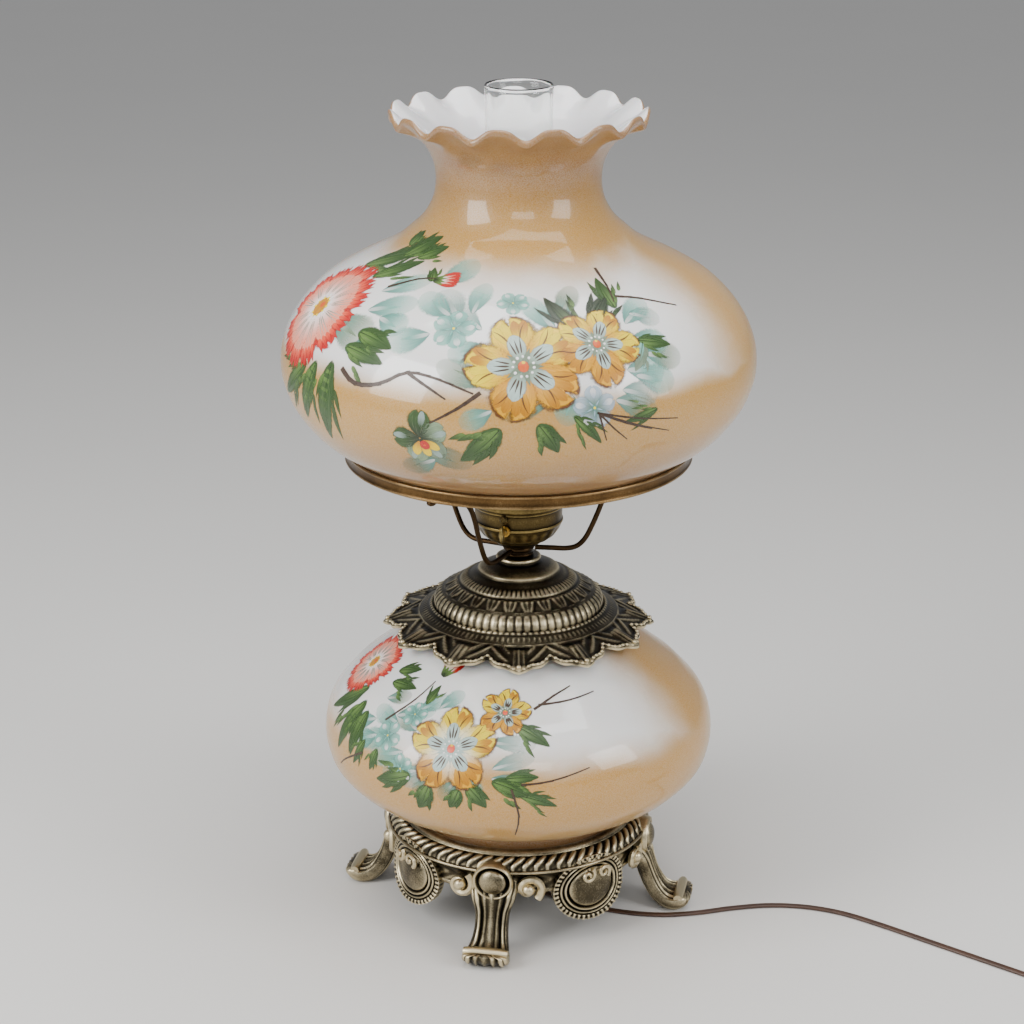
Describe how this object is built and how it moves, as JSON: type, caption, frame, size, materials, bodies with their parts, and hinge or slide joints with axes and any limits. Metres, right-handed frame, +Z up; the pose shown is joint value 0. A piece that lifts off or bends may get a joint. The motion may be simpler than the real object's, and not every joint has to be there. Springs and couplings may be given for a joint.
{
  "type": "oil lamp",
  "caption": "Electrified parlour oil lamp: painted glass shade on a wire-armed ring over a painted glass globe and a cast footed base, with clear chimney and flat cord.",
  "frame": {"origin": "on the table under the lamp's axis, at the bottom of the feet", "axes": "+Z up along the lamp's axis, front of the lamp facing -Y, cord leaving towards +X"},
  "size_m": [0.6509, 0.3549, 0.645],
  "materials": {
    "painted_glass": "milk glass painted in tan with hand-painted flowers, glossy",
    "clear_glass": "clear blown glass",
    "frosted_glass": "frosted bulb glass",
    "antiqued_casting": "antiqued brass-coloured plating, dark in the recesses",
    "bronzed_ring": "bronzed, worn",
    "bronze_wire": "dark bronze plating",
    "aged_brass": "aged olive brass",
    "plain_brass": "plain brass",
    "plated_steel": "zinc plated",
    "phenolic": "black phenolic",
    "felt": "pressed felt",
    "brown_cord": "smooth brown vinyl",
    "brown_plug": "moulded brown plastic"
  },
  "bodies": {
    "lamp_body": {"font_globe": "painted_glass", "shade_ring": "bronzed_ring", "arm_hub": "bronze_wire", "ring_arm_1": "bronze_wire", "ring_arm_2": "bronze_wire", "ring_arm_3": "bronze_wire", "burner_cup": "aged_brass", "chimney_gallery": "aged_brass", "switch_bushing": "aged_brass", "cup_screw": "aged_brass", "socket_cap": "plain_brass", "socket_body": "phenolic", "socket_sleeve": "phenolic", "socket_screw_shell": "plain_brass", "centre_contact": "plain_brass", "bulb_base": "plain_brass", "bulb_glass": "frosted_glass", "canopy": "antiqued_casting", "centre_pipe": "plain_brass", "base_locknut": "plain_brass", "base_washer": "plated_steel", "lower_gasket": "felt", "upper_gasket": "felt", "globe_check_plate": "plated_steel", "canopy_locknut": "plain_brass", "night_light_bracket": "plated_steel", "bracket_nut_lower": "plain_brass", "bracket_nut_upper": "plain_brass", "night_light_socket": "phenolic", "night_light_bulb": "frosted_glass", "base_casting": "antiqued_casting", "cord_bushing": "phenolic", "cord_lead": "brown_cord", "cord_coil": "brown_cord", "cord_tail": "brown_cord", "plug_body": "brown_plug", "plug_blade_left": "plain_brass", "plug_blade_right": "plain_brass"},
    "glass_shade": {"shade": "painted_glass"},
    "glass_chimney": {"chimney": "clear_glass"},
    "switch_turn_key": {"switch_key": "aged_brass", "switch_spindle": "bronze_wire"}
  },
  "joints": [
    {"name": "shade_lift", "type": "slide", "parent": "lamp_body", "child": "glass_shade", "axis": [0, 0, 1], "range_m": [0, 0.3]},
    {"name": "chimney_lift", "type": "slide", "parent": "lamp_body", "child": "glass_chimney", "axis": [0, 0, 1], "range_m": [0, 0.33]},
    {"name": "switch_key_turn", "type": "hinge", "parent": "lamp_body", "child": "switch_turn_key", "pos_m": [-0.01213, -0.03969, 0.315], "axis": [-0.2924, -0.9563, 0], "continuous": true}
  ]
}
